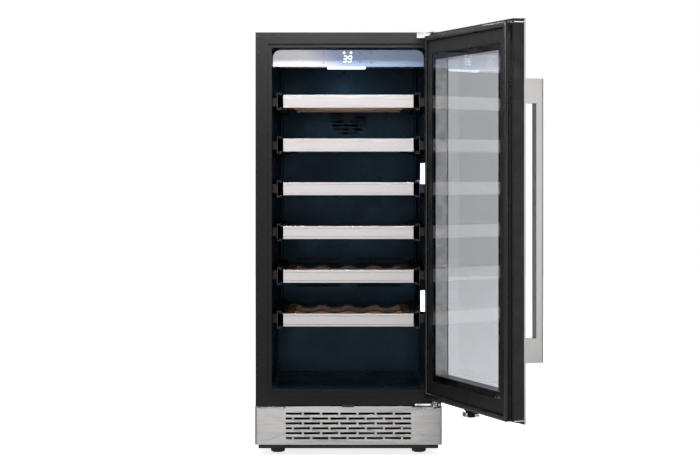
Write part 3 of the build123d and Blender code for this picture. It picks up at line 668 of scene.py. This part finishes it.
def make_rear_screws():
    cover_low, cover_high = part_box("rear_cover")
    back_low, back_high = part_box("back_panel")
    y = back_high.y
    inset = 7 * MM
    mesh = bmesh.new()
    for x in (cover_low.x + inset, 0.0, cover_high.x - inset):
        for z in (cover_low.z + inset, cover_high.z - inset):
            screw_head(mesh, (x, y, z), (0, 1, 0), 3.4 * MM)
    rows = 4
    for x in (back_low.x + inset, back_high.x - inset):
        for row in range(rows):
            z = back_low.z + 2 * inset + (back_high.z - back_low.z - 3 * inset) * row / (rows - 1)
            screw_head(mesh, (x, y, z), (0, 1, 0), 3.4 * MM)
    piece("rear_screws", mesh, "cabinet", FINISHES["bright_metal"])


# ---- Floor, light and camera --------------------------------------------------------------------------
def make_stage():
    """A pale, flat floor that ends against the white backdrop of the world."""
    half_width, front, back = 6.0, -2.5, 6.0
    mesh = bmesh.new()
    corner_places = ((-half_width, front), (half_width, front), (half_width, back), (-half_width, back))
    mesh.faces.new([mesh.verts.new((x, y, 0.0)) for x, y in corner_places])
    data = bpy.data.meshes.new("studio_floor")
    mesh.to_mesh(data)
    mesh.free()
    surface = Surface("studio_paper", Emission_Strength=0.80)
    mottled(surface, grey(0.88), grey(0.92), 3.0, 0.85, 0.95)
    data.materials.append(surface.material)
    floor = bpy.data.objects.new("studio_floor", data)
    bpy.context.scene.collection.objects.link(floor)
    floor.visible_glossy = False
    floor.visible_diffuse = False


def area_light(name, place, target, size, power, colour=(1, 1, 1)):
    data = bpy.data.lights.new(name, "AREA")
    data.shape = "RECTANGLE"
    data.size, data.size_y = size
    data.energy = power
    data.color = colour
    lamp = bpy.data.objects.new(name, data)
    lamp.location = place
    lamp.rotation_euler = (Vector(target) - Vector(place)).to_track_quat("-Z", "Y").to_euler()
    bpy.context.scene.collection.objects.link(lamp)


# Light from the room that only reflections and shade see: direction, the cosine where it
# starts, the cosine where it is full, and its strength.
ROOM = (
    ("above", (0, 0, 1), 0.10, 0.80, 0.30),
    ("behind", (0, 1, 0), 0.20, 0.90, 0.22),
    ("straight_behind", (0, 1, 0), 0.94, 0.985, 0.62),
    ("left", (-1, 0, 0), 0.30, 0.95, 0.20),
    ("floor", (0, 0, -1), 0.15, 0.55, 0.40),
)
ROOM_DARK = 0.05
TOP_LAMP_HEIGHT = 0.784
SIDE_LAMP_HEIGHTS = (0.576, 0.314)


def make_world():
    """A white backdrop in a dim studio, brighter above, below, behind and to the left."""
    world = bpy.data.worlds.new("studio")
    world.use_nodes = True
    bpy.context.scene.world = world
    tree = world.node_tree
    background = tree.nodes["Background"]
    coords = tree.nodes.new("ShaderNodeTexCoord")
    level = None
    for _, direction, start, full, strength in ROOM:
        towards = tree.nodes.new("ShaderNodeVectorMath")
        towards.operation = "DOT_PRODUCT"
        tree.links.new(coords.outputs["Generated"], towards.inputs[0])
        towards.inputs[1].default_value = direction
        ramp = tree.nodes.new("ShaderNodeMapRange")
        ramp.interpolation_type = "SMOOTHSTEP"
        ramp.inputs["From Min"].default_value = start
        ramp.inputs["From Max"].default_value = full
        ramp.inputs["To Max"].default_value = strength
        tree.links.new(towards.outputs["Value"], ramp.inputs["Value"])
        total = tree.nodes.new("ShaderNodeMath")
        tree.links.new(ramp.outputs["Result"], total.inputs[0])
        if level is None:
            total.inputs[1].default_value = ROOM_DARK
        else:
            tree.links.new(level, total.inputs[1])
        level = total.outputs[0]
    seen = tree.nodes.new("ShaderNodeLightPath")
    pick = tree.nodes.new("ShaderNodeMix")
    tree.links.new(seen.outputs["Is Camera Ray"], pick.inputs[0])
    tree.links.new(level, pick.inputs[2])
    pick.inputs[3].default_value = 1.0
    tree.links.new(pick.outputs[0], background.inputs["Strength"])
    background.inputs["Color"].default_value = (1.0, 1.0, 1.0, 1.0)


def make_light():
    make_world()
    front = FRONT_Y
    area_light("front_softbox", (-0.3, front - 4.1, 0.62), (0, front, 0.45), (1.9, 1.9), 22)
    area_light("right_softbox", (2.9, front - 2.7, 0.8), (0.3, front, 0.5), (1.3, 2.4), 18)
    area_light("left_softbox", (-3.0, front - 2.2, 0.9), (-0.2, front, 0.5), (1.0, 1.8), 9)
    area_light("top_strip", (0.0, front - 0.20, 1.15), (0, front + 0.1, 0.55), (0.6, 0.06), 7.5)
    area_light("floor_wash", (0.0, 0.6, 2.8), (0, 1.4, 0.0), (3.0, 2.0), 25)
    cool = (0.55, 0.78, 1.0)
    cavity_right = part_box("inner_liner")[1].x
    area_light("lamp_glow_top", (0.0, front + 60 * MM, TOP_LAMP_HEIGHT), (0, front + 0.2, 0.4), (0.08, 0.02),
               0.16, cool)
    for z in SIDE_LAMP_HEIGHTS:
        area_light(f"lamp_glow_{round(z * 1000)}", (cavity_right - 16 * MM, front + 22 * MM, z),
                   (-0.1, front + 0.2, z), (0.02, 0.04), 0.06, cool)


def make_camera():
    """Level, straight at the front, a little above the middle of the cabinet."""
    distance = 3.5628
    data = bpy.data.cameras.new("camera")
    data.lens = 89.59
    data.sensor_width = 36.0
    data.shift_y = -0.0841
    camera = bpy.data.objects.new("camera", data)
    camera.location = (3.3 * MM, FRONT_Y - distance, 0.574)
    camera.rotation_euler = (math.pi / 2, 0, 0)
    bpy.context.scene.collection.objects.link(camera)
    bpy.context.scene.camera = camera


dress_nodes()
for name, width in EDGE_WIDTHS.items():
    soften(name, width)
make_seal()
make_edge_trims()
make_display()
make_symbols()
make_rear_screws()
make_stage()
make_light()
make_camera()
bpy.context.scene.view_settings.view_transform = "Standard"
